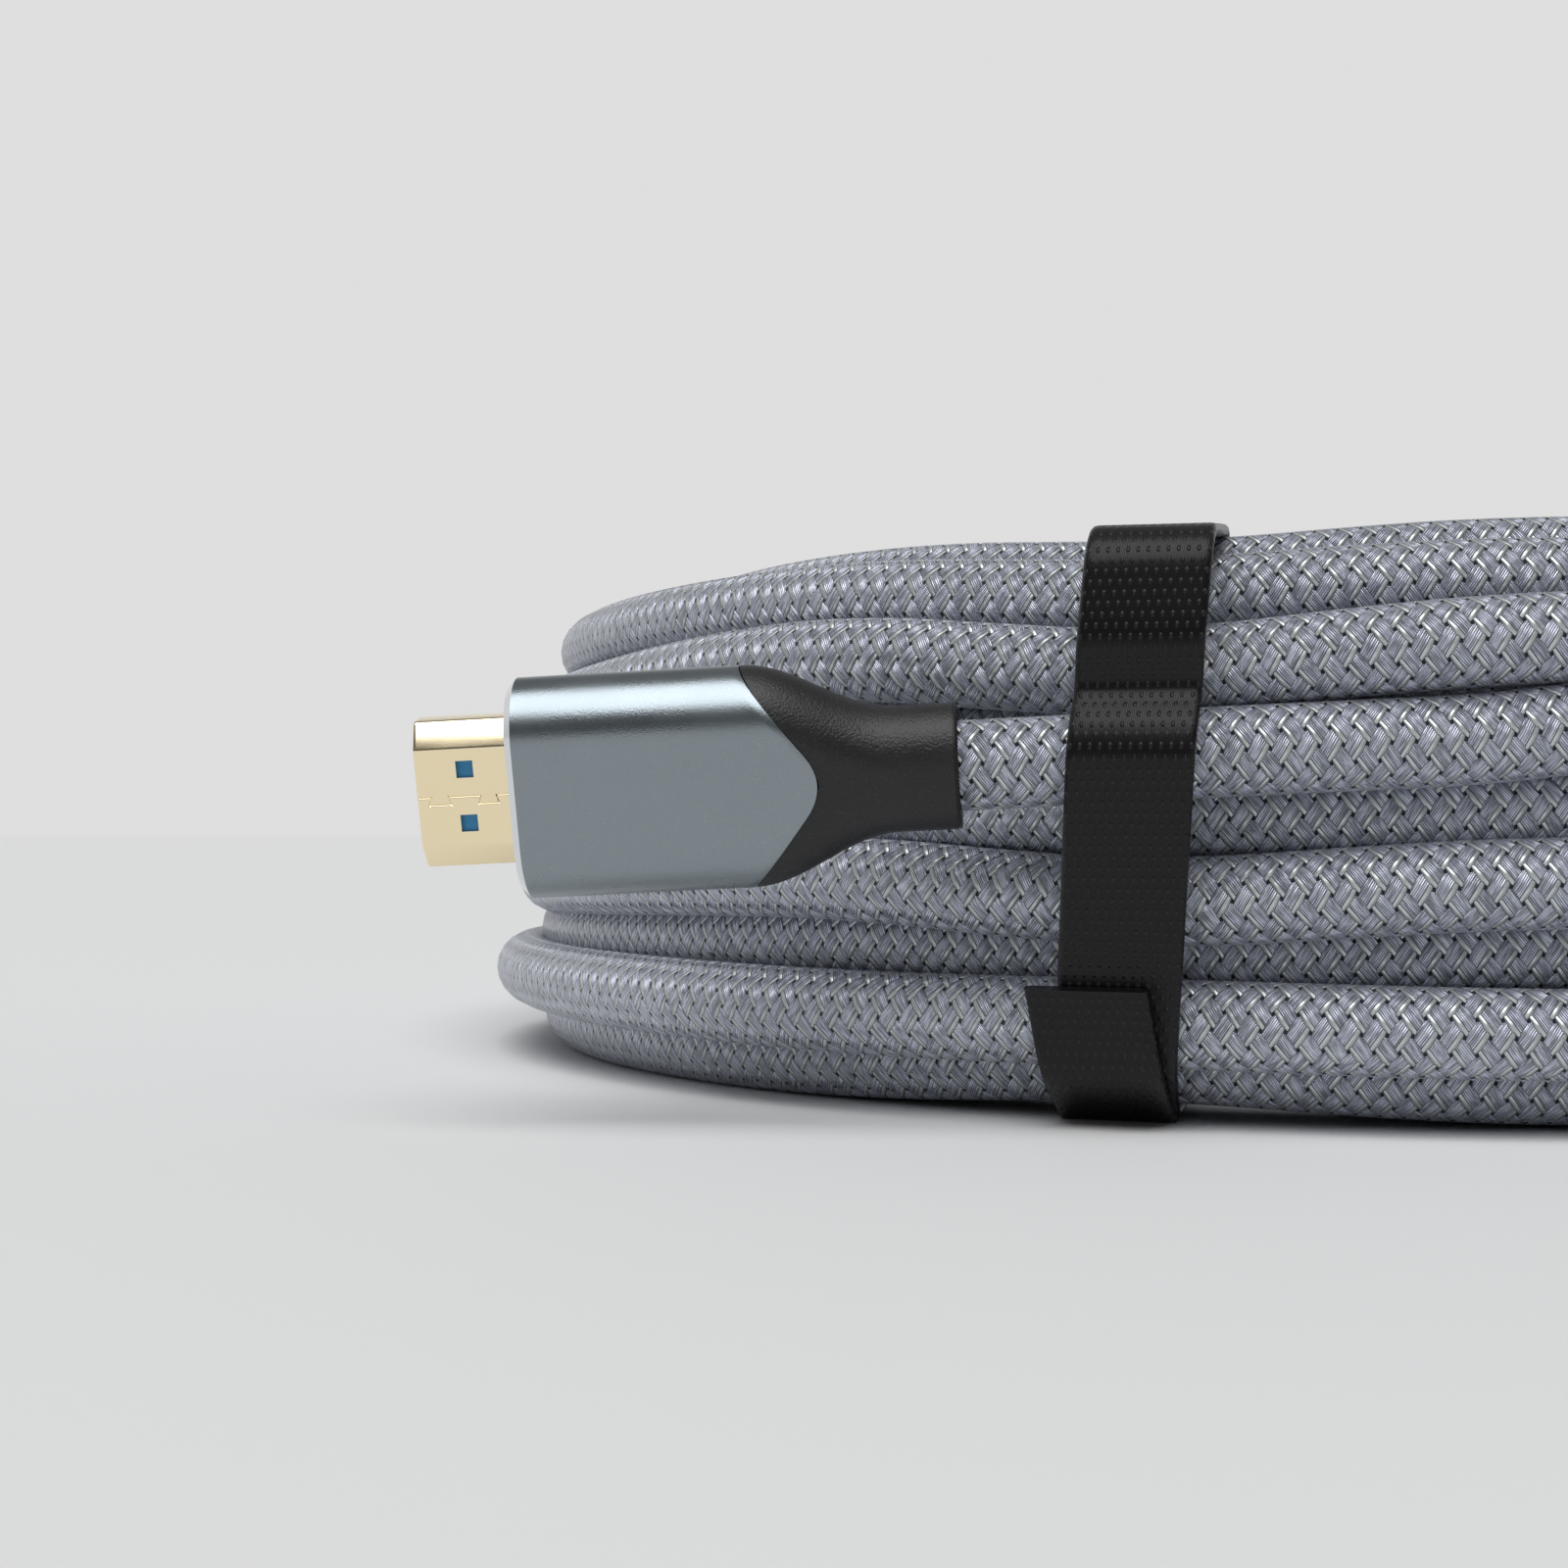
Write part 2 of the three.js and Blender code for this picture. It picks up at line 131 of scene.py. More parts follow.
# Plug shell
SHELL_WIDTH = 13.9
SHELL_HEIGHT = 4.45
SHELL_WALL = 0.35
SHELL_BEVEL_WIDTH = 2.4
SHELL_BEVEL_HEIGHT = 1.5
SHELL_CORNER = 0.55
SHELL_LENGTH = 9.2
SHELL_SEAT = 3.2
WINDOW_SIZE = 1.6
WINDOW_SPACING = 5.1
WINDOW_SETBACK = 4.7
SEAM_WIDTH = 0.05
SEAM_DEPTH = 0.09
DOVETAIL_DEPTH = 0.75
DOVETAILS = ((1.1, 3.2), (5.8, 7.7))  # behind the shell's mouth
DOVETAIL_NECK = 0.22

# Insulator and contacts
INSULATOR_GAP = 0.15
INSULATOR_RECESS = 0.4
SLOT_WIDTH = 11.2
SLOT_HEIGHT = 2.2
SLOT_DEPTH = 7.0
SLOT_CORNER = 0.3
CONTACT_PITCH = 1.0
CONTACT_WIDTH = 0.5
CONTACT_THICKNESS = 0.2
CONTACT_GAP = 0.1
CONTACT_RECESS = 0.8
UPPER_CONTACTS = 10
LOWER_CONTACTS = 9

# Housing
HOUSING_WIDTH = 20.8
HOUSING_THICKNESS = 11.5
HOUSING_WALL = 0.9
HOUSING_CHAMFER = 0.7
HOUSING_SIDE_LENGTH = 21.4
HOUSING_TIP_LENGTH = 28.3
CHEVRON_TIP_WIDTH = 6.0
CORE_RECESS = 0.4

# Boot
BOOT_END = 41.0
NECK_WIDTH = 11.7
NECK_THICKNESS = 10.6
FLARE_LENGTH = 14.0

# Camera, where the photograph was taken from
CAMERA_PLACE = (-73.0, -330.0, 29.0)
CAMERA_TILT = 0.7
CAMERA_LENS = 57.4

# Light
SOFTBOX_WIDTH = 56.0  # as seen from the object
SOFTBOX_HEIGHT = 66.0  # above the floor, in front
SOFTBOX_TURN = -12.0
SOFTBOX_STRENGTH = 2.2
FRONT_LEVEL = 0.11
BACK_LEVEL = 0.75
BACK_FALL = 0.5  # how much darker the back is above
SEEN_LEVEL = 0.735  # where the camera looks past the floor
FLOOR_HALF = 3000


def smooth(share):
    """Runs from 0 to 1 with level ends: 3 s squared less 2 s cubed, with s held between 0 and 1."""
    share = np.clip(share, 0, 1)
    return share * share * (3 - 2 * share)


def unit(vectors):
    return vectors / np.linalg.norm(vectors, axis=-1, keepdims=True)


class Surface:
    """Points in millimetres, the quads and triangles between them, and each corner's place in a pattern."""

    def __init__(self):
        self.points = np.empty((0, 3))
        self.quads = np.empty((0, 4), int)
        self.places = np.empty((0, 4, 2))
        self.finishes = np.empty(0, int)
        self.triangles = np.empty((0, 3), int)

    def grid(self, points, close_rows=False, close_columns=True, along=None, across=None, keep=None,
             finish=0):
        """Quads between neighbours in a grid of points. A closed side joins its last line to its first."""
        rows, columns = points.shape[:2]
        first = len(self.points)
        row, column = np.meshgrid(
            np.arange(rows if close_rows else rows - 1),
            np.arange(columns if close_columns else columns - 1), indexing="ij",
        )
        corner_rows = np.stack((row, row, row + 1, row + 1), -1)
        corner_columns = np.stack((column, column + 1, column + 1, column), -1)
        quads = first + (corner_rows % rows) * columns + corner_columns % columns
        places = np.zeros(quads.shape + (2,))
        if along is not None:
            places[..., 0] = across[corner_columns]
            places[..., 1] = along[corner_rows]
        finishes = np.broadcast_to(np.asarray(finish).reshape(-1, 1), row.shape)
        kept = np.ones(row.shape, bool) if keep is None else keep
        self.points = np.concatenate((self.points, points.reshape(-1, 3)))
        self.quads = np.concatenate((self.quads, quads[kept]))
        self.places = np.concatenate((self.places, places[kept]))
        self.finishes = np.concatenate((self.finishes, finishes[kept]))
        return first + np.arange(rows * columns).reshape(rows, columns)

    def strip(self, one, other):
        """Quads between two closed rings of points that are already there."""
        quads = np.stack((one, np.roll(one, -1), np.roll(other, -1), other), -1)
        self.quads = np.concatenate((self.quads, quads))
        self.places = np.concatenate((self.places, np.zeros(quads.shape + (2,))))
        self.finishes = np.concatenate((self.finishes, np.zeros(len(quads), int)))

    def cap(self, ring, at_start):
        """A fan from a ring's middle, which closes the first or the last row of a grid."""
        middle = len(self.points)
        self.points = np.concatenate((self.points, self.points[ring].mean(0, keepdims=True)))
        following = np.roll(ring, -1)
        pair = (following, ring) if at_start else (ring, following)
        fan = np.stack((*pair, np.full(len(ring), middle)), -1)
        self.triangles = np.concatenate((self.triangles, fan))

    def moved(self, origin, axes):
        self.points = np.asarray(origin) + self.points @ axes
        return self

    def outward(self):
        """Turns every face round if the volume inside, summed from the corners, comes out negative."""
        corners = self.points[np.concatenate((self.quads[:, :3], self.quads[:, (0, 2, 3)], self.triangles))]
        volume = np.einsum("ij,ij->i", corners[:, 0], np.cross(corners[:, 1], corners[:, 2])).sum()
        if volume < 0:
            self.quads, self.places = self.quads[:, ::-1], self.places[:, ::-1]
            self.triangles = self.triangles[:, ::-1]
        return self


def make_piece(name, surface, materials, stands_for, sharp=35.0):
    """A mesh object from a surface. It rides on the root body and stands for some of the frame's nodes."""
    surface.outward()
    sizes = np.repeat((4, 3), (len(surface.quads), len(surface.triangles)))
    corners = np.concatenate((surface.quads.ravel(), surface.triangles.ravel()))
    places = np.concatenate((surface.places.reshape(-1, 2), np.zeros((3 * len(surface.triangles), 2))))
    mesh = bpy.data.meshes.new(name)
    mesh.vertices.add(len(surface.points))
    mesh.vertices.foreach_set("co", (surface.points * MM).ravel())
    mesh.loops.add(len(corners))
    mesh.loops.foreach_set("vertex_index", corners)
    mesh.polygons.add(len(sizes))
    mesh.polygons.foreach_set("loop_start", np.concatenate(((0,), np.cumsum(sizes)[:-1])))
    mesh.polygons.foreach_set(
        "material_index", np.concatenate((surface.finishes, np.zeros(len(surface.triangles), int))),
    )
    mesh.update(calc_edges=True)
    mesh.polygons.foreach_set("use_smooth", np.ones(len(sizes), bool))
    mesh.uv_layers.new(name="Place").data.foreach_set("uv", places.ravel())
    mesh.set_sharp_from_angle(angle=np.radians(sharp))
    for material in materials:
        mesh.materials.append(material)
    piece = bpy.data.objects.new(name, mesh)
    bpy.context.scene.collection.objects.link(piece)
    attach(piece, "root")
    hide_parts(*stands_for)
    return piece


# Formulas in node trees


class Value:
    """One number in a node tree, so that a formula on it is written as a formula."""

    def __init__(self, tree, socket):
        self.tree = tree
        self.socket = socket

    def math(self, operation, *others):
        node = self.tree.nodes.new("ShaderNodeMath")
        node.operation = operation
        for place, given in enumerate((self, *others)):
            if isinstance(given, Value):
                self.tree.links.new(given.socket, node.inputs[place])
            else:
                node.inputs[place].default_value = given
        return Value(self.tree, node.outputs[0])

    def __add__(self, other):
        return self.math("ADD", other)

    def __sub__(self, other):
        return self.math("SUBTRACT", other)

    def __mul__(self, other):
        return self.math("MULTIPLY", other)

    def __truediv__(self, other):
        return self.math("DIVIDE", other)

    def floor(self):
        return self.math("FLOOR")

    def cosine(self):
        return self.math("COSINE")

    def absolute(self):
        return self.math("ABSOLUTE")

    def least(self, other):
        return self.math("MINIMUM", other)

    def most(self, other):
        return self.math("MAXIMUM", other)

    def rise(self, low, high, start=0.0, end=1.0):
        """A smooth rise from start to end while the value goes from low to high."""
        node = self.tree.nodes.new("ShaderNodeMapRange")
        node.interpolation_type = "SMOOTHSTEP"
        self.tree.links.new(self.socket, node.inputs["Value"])
        for socket, value in zip(("From Min", "From Max", "To Min", "To Max"), (low, high, start, end)):
            node.inputs[socket].default_value = value
        return Value(self.tree, node.outputs[0])


def joined(tree, x, y, z=0.0):
    """A vector from three numbers."""
    node = tree.nodes.new("ShaderNodeCombineXYZ")
    for socket, given in zip(node.inputs, (x, y, z)):
        if isinstance(given, Value):
            tree.links.new(given.socket, socket)
        else:
            socket.default_value = given
    return node.outputs[0]


def parts_of(tree, vector):
    node = tree.nodes.new("ShaderNodeSeparateXYZ")
    tree.links.new(vector, node.inputs[0])
    return [Value(tree, socket) for socket in node.outputs]


def mixed(tree, share, first, second, way="MIX"):
    """A colour between two, where each may be a socket or a plain colour."""
    node = tree.nodes.new("ShaderNodeMix")
    node.data_type = "RGBA"
    node.blend_type = way
    for socket, given in zip((node.inputs[0], node.inputs[6], node.inputs[7]), (share, first, second)):
        if isinstance(given, Value):
            tree.links.new(given.socket, socket)
        elif isinstance(given, bpy.types.NodeSocket):
            tree.links.new(given, socket)
        else:
            socket.default_value = given
    return node.outputs[2]


def noise(tree, vector, scale, detail=2.0, roughness=0.5):
    node = tree.nodes.new("ShaderNodeTexNoise")
    tree.links.new(vector, node.inputs["Vector"])
    node.inputs["Scale"].default_value = scale
    node.inputs["Detail"].default_value = detail
    node.inputs["Roughness"].default_value = roughness
    return Value(tree, node.outputs["Fac"])


def node_group(name, inputs, outputs):
    """An empty node group with its named sockets, and its two end nodes."""
    tree = bpy.data.node_groups.new(name, "ShaderNodeTree")
    for socket_name, (kind, default) in inputs.items():
        socket = tree.interface.new_socket(socket_name, in_out="INPUT", socket_type="NodeSocket" + kind)
        if default is not None:
            socket.default_value = default
    for socket_name, kind in outputs.items():
        tree.interface.new_socket(socket_name, in_out="OUTPUT", socket_type="NodeSocket" + kind)
    return tree, tree.nodes.new("NodeGroupInput"), tree.nodes.new("NodeGroupOutput")


def placed_group(tree, group, vector, **values):
    """A node group in a material, fed with a vector and its own values."""
    node = tree.nodes.new("ShaderNodeGroup")
    node.node_tree = group
    tree.links.new(vector, node.inputs[0])
    for name, value in values.items():
        node.inputs[name.replace("_", " ")].default_value = value
    return node


def yarn_end(tree, across, along, number):
    """One braided end: a flat tape beside a bundle of filaments. Returns height, brightness with painted
    shade, and tape mask.

    The tape fills the first share of the width. In the rest the height ripples once for each filament,
    and each filament has its own brightness, which changes slowly along it. The brightness also falls
    between filaments and beside the seam of tape and bundle: painted shade in those grooves.
    """
    tape_share = YARN_TAPE_SHARE
    bundle = (across - tape_share) / (1 - tape_share)
    filament = bundle * YARN_FILAMENTS
    ripple = (filament * np.pi).math("SINE").absolute()
    tape = across.rise(tape_share - 0.02, tape_share + 0.02, 1.0, 0.0)
    edge = across.least(across * -1 + 1)
    dome = edge.rise(0.0, 0.17)
    seam = (across - tape_share).absolute().rise(0.0, 0.05)
    height = dome * seam.rise(0.0, 1.0, 0.72, 1.0) - (tape * -1 + 1) * (ripple * -1 + 1) * 0.3
    place = joined(tree, number * 3.7 + filament * 0.9, along * 0.9, number * 1.31)
    streak = noise(tree, place, 1.0, 3.0, 0.65)
    shade = streak.rise(0.32, 0.68, 0.5, 1.6)
    # painted shade: the colour darkens between filaments, where their height dips
    plain = ripple.rise(0.0, 0.75, 0.5, 1.0) * shade
    light = tape + (tape * -1 + 1) * plain
    # painted shade: the colour darkens beside the seam between tape and bundle
    return height, light * seam.rise(0.0, 1.0, 0.35, 1.0), tape


def braid_group():
    """A diamond braid: ends wound both ways pass over and under one another, one by one.

    With p and q the two windings' counts, a place lies on end floor(p) one way and floor(q) the other way.
    The first is on top where the sum of the two is even. Each rises and falls as a cosine along itself.
    """
    tree, given, made = node_group(
        "braid of yarn ends",
        {"Place": ("Vector", None), "Ends each way": ("Float", BRAID_ENDS),
         "Spacing": ("Float", BRAID_SPACING), "Bundle": ("Color", None), "Tape": ("Color", None),
         "Gap": ("Color", None)},
        {"Colour": "Color", "Height": "Float", "Roughness": "Float"},
    )
    around, along, _ = parts_of(tree, given.outputs["Place"])
    ends = Value(tree, given.outputs["Ends each way"])
    spacing = Value(tree, given.outputs["Spacing"])
    turned, carried = around * ends, along / spacing
    p, q = turned + carried, turned - carried
    i, j = p.floor(), q.floor()
    rise_p = ((q - 0.5 + i) * np.pi).cosine()
    rise_q = ((p - 0.5 + j) * np.pi).cosine() * -1
    height_p, light_p, tape_p = yarn_end(tree, p - i, q, i)
    height_q, light_q, tape_q = yarn_end(tree, q - j, p, j + 31.7)
    top_p, top_q = height_p + rise_p * YARN_RISE, height_q + rise_q * YARN_RISE
    ahead = (top_p - top_q).rise(-0.04, 0.04)
    behind = ahead * -1 + 1
    tape = tape_p * ahead + tape_q * behind
    height = top_p.most(top_q)
    # painted shade: much darker where the two ends' heights meet, where one dives under the other
    crease_shade = (top_p - top_q).absolute().rise(0.0, 0.4, 0.08, 1.0)
    light = (light_p * ahead + light_q * behind) * crease_shade
    yarn = mixed(tree, tape, given.outputs["Bundle"], given.outputs["Tape"])
    shaded = mixed(tree, 1.0, yarn, joined(tree, light, light, light), "MULTIPLY")
    # painted shade: the near-black third colour fills the low places, the gaps between ends
    gap_shade_mask = height.rise(0.45, 0.85)
    colour = mixed(tree, gap_shade_mask, given.outputs["Gap"], shaded)
    tree.links.new(colour, made.inputs["Colour"])
    tree.links.new(height.socket, made.inputs["Height"])
    tree.links.new(tape.rise(0.0, 1.0, 0.28, 0.36).socket, made.inputs["Roughness"])
    return tree


def grain_group():
    """A fine blasted or moulded grain: small noise for the height, and a mask of its brightest grains."""
    tree, given, made = node_group(
        "fine grain",
        {"Place": ("Vector", None), "Fineness": ("Float", 6000.0)},
        {"Height": "Float", "Specks": "Float", "Clouds": "Float"},
    )
    node = tree.nodes.new("ShaderNodeTexNoise")
    tree.links.new(given.outputs["Place"], node.inputs["Vector"])
    tree.links.new(given.outputs["Fineness"], node.inputs["Scale"])
    node.inputs["Detail"].default_value = 1.5
    fine = Value(tree, node.outputs["Fac"])
    tree.links.new(fine.socket, made.inputs["Height"])
    tree.links.new(fine.rise(0.6, 0.72).socket, made.inputs["Specks"])
    clouds = noise(tree, given.outputs["Place"], 90.0, 3.0)
    tree.links.new(clouds.rise(0.3, 0.7).socket, made.inputs["Clouds"])
    return tree


def hook_tape_group():
    """The strap's face: small dimples in staggered rows, on fine lengthwise threads."""
    tree, given, made = node_group(
        "hook tape",
        {"Place": ("Vector", None), "Pitch across": ("Float", STRAP_DIMPLE_ACROSS),
         "Pitch along": ("Float", STRAP_DIMPLE_ALONG)},
        {"Height": "Float", "Dimples": "Float"},
    )
    across, along, _ = parts_of(tree, given.outputs["Place"])
    row = along / Value(tree, given.outputs["Pitch along"])
    line = row.floor()
    pitches = across / Value(tree, given.outputs["Pitch across"])
    column = pitches + line * 0.5
    dx, dy = column - column.floor() - 0.5, row - line - 0.5
    distance = (dx * dx + dy * dy * 0.6).math("SQRT")
    dimples = distance.rise(0.08, 0.26, 1.0, 0.0)
    threads = (pitches * 6.0 * np.pi).math("SINE").absolute()
    tree.links.new((threads * 0.12 + dimples * 0.6).socket, made.inputs["Height"])
    tree.links.new(dimples.socket, made.inputs["Dimples"])
    return tree


def new_material(name, colour, roughness, metallic=0.0):
    """A material with one Principled BSDF, whose uniform values are set on its own sockets."""
    material = bpy.data.materials.new(name)
    material.use_nodes = True
    tree = material.node_tree
    shader = tree.nodes["Principled BSDF"]
    shader.inputs["Base Color"].default_value = colour
    shader.inputs["Roughness"].default_value = roughness
    shader.inputs["Metallic"].default_value = metallic
    places = tree.nodes.new("ShaderNodeTexCoord")
    return material, tree, shader, places


def bumped(tree, shader, height, distance):
    """Relief in which a height of 1 stands out by the distance."""
    node = tree.nodes.new("ShaderNodeBump")
    node.inputs["Distance"].default_value = distance * MM
    node.inputs["Strength"].default_value = 1.0
    tree.links.new(height, node.inputs["Height"])
    tree.links.new(node.outputs["Normal"], shader.inputs["Normal"])


def braid_material(group):
    material, tree, shader, places = new_material("braided yarn", (0.3, 0.31, 0.37, 1), 0.32, 0.5)
    shader.inputs["Specular IOR Level"].default_value = 0.9
    shader.inputs["Sheen Weight"].default_value = 0.1
    shader.inputs["Sheen Roughness"].default_value = 0.4
    # the near-black third colour is painted shade for the gaps between ends
    braid = placed_group(
        tree, group, places.outputs["UV"],
        Bundle=(0.6, 0.63, 0.75, 1), Tape=(0.64, 0.68, 0.69, 1), Gap=(0.012, 0.018, 0.035, 1),
    )
    tree.links.new(braid.outputs["Colour"], shader.inputs["Base Color"])
    tree.links.new(braid.outputs["Roughness"], shader.inputs["Roughness"])
    bumped(tree, shader, braid.outputs["Height"], BRAID_RELIEF)
    return material


def grained_material(name, group, colour, speck_colour, roughness, metallic, fineness, depth, speck_share):
    """A blasted metal or a moulded plastic: fine grain in its height, and specks in its colour."""
    material, tree, shader, places = new_material(name, colour, roughness, metallic)
    grain = placed_group(tree, group, places.outputs["Object"], Fineness=fineness)
    specks = Value(tree, grain.outputs["Specks"]) * speck_share
    clouds = Value(tree, grain.outputs["Clouds"])
    tree.links.new(mixed(tree, specks, colour, speck_colour), shader.inputs["Base Color"])
    uneven = clouds.rise(0.0, 1.0, roughness - 0.03, roughness + 0.03)
    tree.links.new(uneven.socket, shader.inputs["Roughness"])
    bumped(tree, shader, grain.outputs["Height"], depth)
    return material


def strap_material(group):
    material, tree, shader, places = new_material("black hook tape", (0.005, 0.005, 0.006, 1), 0.28)
    shader.inputs["Specular IOR Level"].default_value = 0.28
    tape = placed_group(tree, group, places.outputs["UV"])
    dimples = Value(tree, tape.outputs["Dimples"])
    # painted highlight: the raised dimples are painted lighter, standing in for the glint they catch
    colour = mixed(tree, dimples * 0.6, (0.005, 0.005, 0.006, 1), (0.025, 0.025, 0.027, 1))
    tree.links.new(colour, shader.inputs["Base Color"])
    tree.links.new(dimples.rise(0.0, 1.0, 0.3, 0.4).socket, shader.inputs["Roughness"])
    bumped(tree, shader, tape.outputs["Height"], STRAP_RELIEF)
    return material


def floor_material():
    material, tree, shader, places = new_material("pale floor", (0.85, 0.855, 0.86, 1), 0.8)
    soft = noise(tree, places.outputs["Object"], 3.0).rise(0.2, 0.8, 0.78, 0.82)
    tree.links.new(soft.socket, shader.inputs["Roughness"])
    return material


# Outlines across a plug


def rounded_outline(corners, radius, arc_steps, stops):
    """A polygon's outline with rounded corners, as the middles of its arcs and the way out from each.

    A point at some inset is its middle plus (radius less inset) times its way out. Along each side the way
    out is the side's own, and stops gives the further points on each side, by their y.
    """
    corners = np.asarray(corners, float)
    sides = unit(np.roll(corners, -1, 0) - corners)
    out = np.stack((sides[:, 1], -sides[:, 0]), -1)
    before = np.roll(out, 1, 0)
    middles = corners - radius * (before + out) / (1 + (before * out).sum(-1, keepdims=True))
    places, ways = [], []
    for corner, middle in enumerate(middles):
        angle = np.arctan2(before[corner, 1], before[corner, 0])
        turn = (np.arctan2(out[corner, 1], out[corner, 0]) - angle) % (2 * np.pi)
        angles = angle + turn * np.arange(arc_steps + 1) / arc_steps
        places.append(np.repeat(middle[None], arc_steps + 1, 0))
        ways.append(np.stack((np.cos(angles), np.sin(angles)), -1))
        following = middles[(corner + 1) % len(middles)]
        ys = np.asarray(stops.get(corner, ()), float)
        if len(ys):
            share = ((ys - middle[0]) / (following[0] - middle[0]))[:, None]
            places.append(middle + share * (following - middle))
            ways.append(np.repeat(out[corner][None], len(ys), 0))
    return np.concatenate(places), np.concatenate(ways)


def round_ended_outline(arc_steps, side_steps):
    """An outline with round ends: which end each point belongs to, from -1 to 1, and its way out."""
    quarter = np.pi / 2
    right = np.linspace(-quarter, quarter, arc_steps + 1)
    left = right + np.pi
    level = np.linspace(1, -1, side_steps + 1)[1:-1]
    ends = np.concatenate((np.ones(arc_steps + 1), level, -np.ones(arc_steps + 1), -level))
    angles = np.concatenate((right, np.full(len(level), quarter), left, np.full(len(level), -quarter)))
    return ends, np.stack((np.cos(angles), np.sin(angles)), -1)


def across_plug(x, section):
    """Grid rows from each row's x, a number or one for each point, and its section's y and z."""
    section = np.asarray(section)
    x = np.broadcast_to(x, section.shape[:-1])
    return np.concatenate((x[..., None], section), -1)


def round_ended(outline, width, thickness, inset=0.0):
    ends, ways = outline
    radius = thickness / 2
    section = ways * (radius - inset)
    section[:, 0] += ends * (width / 2 - radius)
    return section


SHELL_CORNERS = (
    (-SHELL_WIDTH / 2, -SHELL_HEIGHT / 2),
    (SHELL_WIDTH / 2, -SHELL_HEIGHT / 2),
    (SHELL_WIDTH / 2, SHELL_HEIGHT / 2 - SHELL_BEVEL_HEIGHT),
    (SHELL_WIDTH / 2 - SHELL_BEVEL_WIDTH, SHELL_HEIGHT / 2),
    (-SHELL_WIDTH / 2 + SHELL_BEVEL_WIDTH, SHELL_HEIGHT / 2),
    (-SHELL_WIDTH / 2, SHELL_HEIGHT / 2 - SHELL_BEVEL_HEIGHT),
)
WIDE_SIDE, NARROW_SIDE = 0, 3
WINDOW_X = SHELL_LENGTH - WINDOW_SETBACK


def shell_seam(x, y):
    """How far a place on the narrow face lies from the seam between the sheet's ends and its dovetails."""
    back = SHELL_LENGTH - x
    distance = np.abs(y)
    for start, end in DOVETAILS:
        middle, half = (start + end) / 2, (end - start) / 2
        lean = DOVETAIL_NECK * (1 - y / DOVETAIL_DEPTH)
        inside = np.abs(back - middle) < half - DOVETAIL_NECK
        tab = (y > -SEAM_WIDTH) & (y < DOVETAIL_DEPTH + SEAM_WIDTH)
        flank = np.where(tab, np.abs(np.abs(back - middle) - half + lean), np.inf)
        crown = np.where(np.abs(back - middle) < half, np.abs(y - DOVETAIL_DEPTH), np.inf)
        distance = np.where(inside & (y < DOVETAIL_DEPTH / 2), np.inf, distance)
        distance = np.minimum(distance, np.minimum(flank, crown))
    return distance


def shell_surface():
    """A thin tube: the outline at no inset outside and at the wall's inset inside, with a rounded lip.

    A narrow trough follows the seam: its depth falls as exp(-(distance / width) squared).
    """
    window_edges = [(side * WINDOW_SPACING + edge * WINDOW_SIZE) / 2 for side in (-1, 1) for edge in (-1, 1)]
    seam_lines = np.arange(-0.2, 1.01, 0.05)
    narrow = np.concatenate((window_edges, seam_lines, np.arange(-4, 4.1, 1.0)))
    narrow = np.unique(np.round(narrow, 4))[::-1]
    wide = np.unique(np.round(np.concatenate((window_edges, np.arange(-6, 6.1, 1.5))), 4))
    middles, ways = rounded_outline(
        SHELL_CORNERS, SHELL_CORNER, 6, {WIDE_SIDE: wide, NARROW_SIDE: narrow},
    )
    fine = np.arange(0, SHELL_LENGTH - 0.3, 0.08)
    edges = [WINDOW_X - WINDOW_SIZE / 2, WINDOW_X + WINDOW_SIZE / 2]
    length = np.unique(np.round(np.concatenate(((-SHELL_SEAT, -1.6), fine, edges)), 4))
    lip = np.linspace(0, np.pi, 7)
    half = SHELL_WALL / 2
    lip_x = SHELL_LENGTH - half + half * np.sin(lip)
    lip_inset = half - half * np.cos(lip)
    x = np.concatenate((length, lip_x, length[::-1]))
    inset = np.concatenate((np.zeros(len(length)), lip_inset, np.full(len(length), SHELL_WALL)))
    section = middles + (SHELL_CORNER - inset)[:, None, None] * ways
    rows, columns = section.shape[:2]
    across = section[0, :, 0]
    on_narrow = (ways[:, 1] > 0.999)
    on_wide = (ways[:, 1] < -0.999)
    trough = SEAM_DEPTH * np.exp(-(shell_seam(x[:, None], across[None]) / SEAM_WIDTH) ** 2)
    section[..., 1] -= trough * on_narrow * (inset == 0)[:, None] * (x > 0)[:, None]
    row_middle = (x[:, None] + np.roll(x, -1)[:, None]) / 2
    next_across = np.roll(across, -1)
    flat = (on_narrow & np.roll(on_narrow, -1)) | (on_wide & np.roll(on_wide, -1))
    column_middle = (across + next_across) / 2
    in_length = np.abs(row_middle - WINDOW_X) < WINDOW_SIZE / 2
    in_width = np.abs(np.abs(column_middle) - WINDOW_SPACING / 2) < WINDOW_SIZE / 2
    hole = in_length & (in_width & flat)[None]
    surface = Surface()
    numbers = surface.grid(across_plug(x[:, None], section), close_rows=True, keep=~hole)
    first, last = (int(np.argmin(np.abs(length - edge))) for edge in edges)
    opened = np.flatnonzero(in_width & flat)
    for run in np.split(opened, np.flatnonzero(np.diff(opened) > 1) + 1):
        left, right = run[0], run[-1] + 1
        loop = [(first, c) for c in range(left, right)] + [(r, right) for r in range(first, last)]
        loop += [(last, c) for c in range(right, left, -1)] + [(r, left) for r in range(last, first, -1)]
        loop = np.array(loop)
        outside = numbers[loop[:, 0], loop[:, 1] % columns]
        inside = numbers[rows - 1 - loop[:, 0], loop[:, 1] % columns]
        surface.strip(outside, inside)
    return surface


